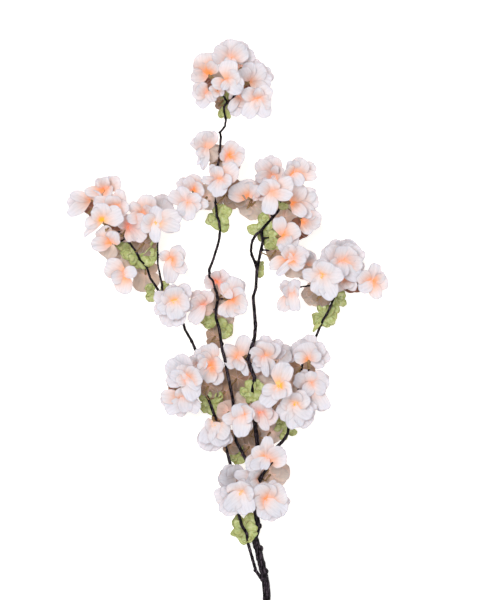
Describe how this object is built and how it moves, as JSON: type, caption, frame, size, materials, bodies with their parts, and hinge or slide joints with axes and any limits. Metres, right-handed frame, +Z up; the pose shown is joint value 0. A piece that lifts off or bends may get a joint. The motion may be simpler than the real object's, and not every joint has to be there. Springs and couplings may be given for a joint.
{
  "type": "artificial peach blossom spray",
  "caption": "Cut spray of peach blossom lying down: cupped fabric blossoms in clusters on dark, knotty, branching stems with green calyces.",
  "frame": {"origin": "middle of the bounding box's base, on the surface that the spray lies on", "axes": "+Y along the spray from its cut end to its tip, +X to its right seen from above, +Z up from the surface"},
  "size_m": [0.3504, 0.6452, 0.0798],
  "materials": {
    "petal_fabric": "matte crinkled fabric, white to blush with an orange heart",
    "calyx_fabric": "matte fabric, pale yellow-green",
    "dark_bark": "matte moulded bark, near-black with a purple-grey cast"
  },
  "bodies": {
    "root": {"blossom_bottom_1": "petal_fabric", "blossom_bottom_2": "petal_fabric", "blossom_bottom_3": "petal_fabric", "blossom_centre_1": "petal_fabric", "blossom_centre_2": "petal_fabric", "blossom_centre_3": "petal_fabric", "blossom_left_1": "petal_fabric", "blossom_left_2": "petal_fabric", "blossom_left_3": "petal_fabric", "blossom_left_4": "petal_fabric", "blossom_left_5": "petal_fabric", "blossom_left_6": "petal_fabric", "blossom_left_7": "petal_fabric", "blossom_left_8": "petal_fabric", "blossom_left_9": "petal_fabric", "blossom_lower_1": "petal_fabric", "blossom_lower_10": "petal_fabric", "blossom_lower_11": "petal_fabric", "blossom_lower_2": "petal_fabric", "blossom_lower_3": "petal_fabric", "blossom_lower_4": "petal_fabric", "blossom_lower_5": "petal_fabric", "blossom_lower_6": "petal_fabric", "blossom_lower_7": "petal_fabric", "blossom_lower_8": "petal_fabric", "blossom_lower_9": "petal_fabric", "blossom_middle_1": "petal_fabric", "blossom_middle_2": "petal_fabric", "blossom_middle_3": "petal_fabric", "blossom_right_1": "petal_fabric", "blossom_right_2": "petal_fabric", "blossom_right_3": "petal_fabric", "blossom_right_4": "petal_fabric", "blossom_right_5": "petal_fabric", "blossom_right_top_1": "petal_fabric", "blossom_right_top_2": "petal_fabric", "blossom_right_top_3": "petal_fabric", "blossom_right_top_4": "petal_fabric", "blossom_right_top_5": "petal_fabric", "blossom_right_top_6": "petal_fabric", "blossom_top_1": "petal_fabric", "blossom_top_2": "petal_fabric", "blossom_top_3": "petal_fabric", "blossom_top_4": "petal_fabric", "blossom_top_5": "petal_fabric", "blossom_top_6": "petal_fabric", "blossom_top_7": "petal_fabric", "blossom_upper_1": "petal_fabric", "blossom_upper_2": "petal_fabric", "calyx_bottom": "calyx_fabric", "calyx_centre": "calyx_fabric", "calyx_left": "calyx_fabric", "calyx_lower": "calyx_fabric", "calyx_right": "calyx_fabric", "calyx_right_top": "calyx_fabric", "calyx_top": "calyx_fabric", "centre_branch": "dark_bark", "left_branch": "dark_bark", "main_stem": "dark_bark", "right_branch": "dark_bark"}
  },
  "joints": []
}
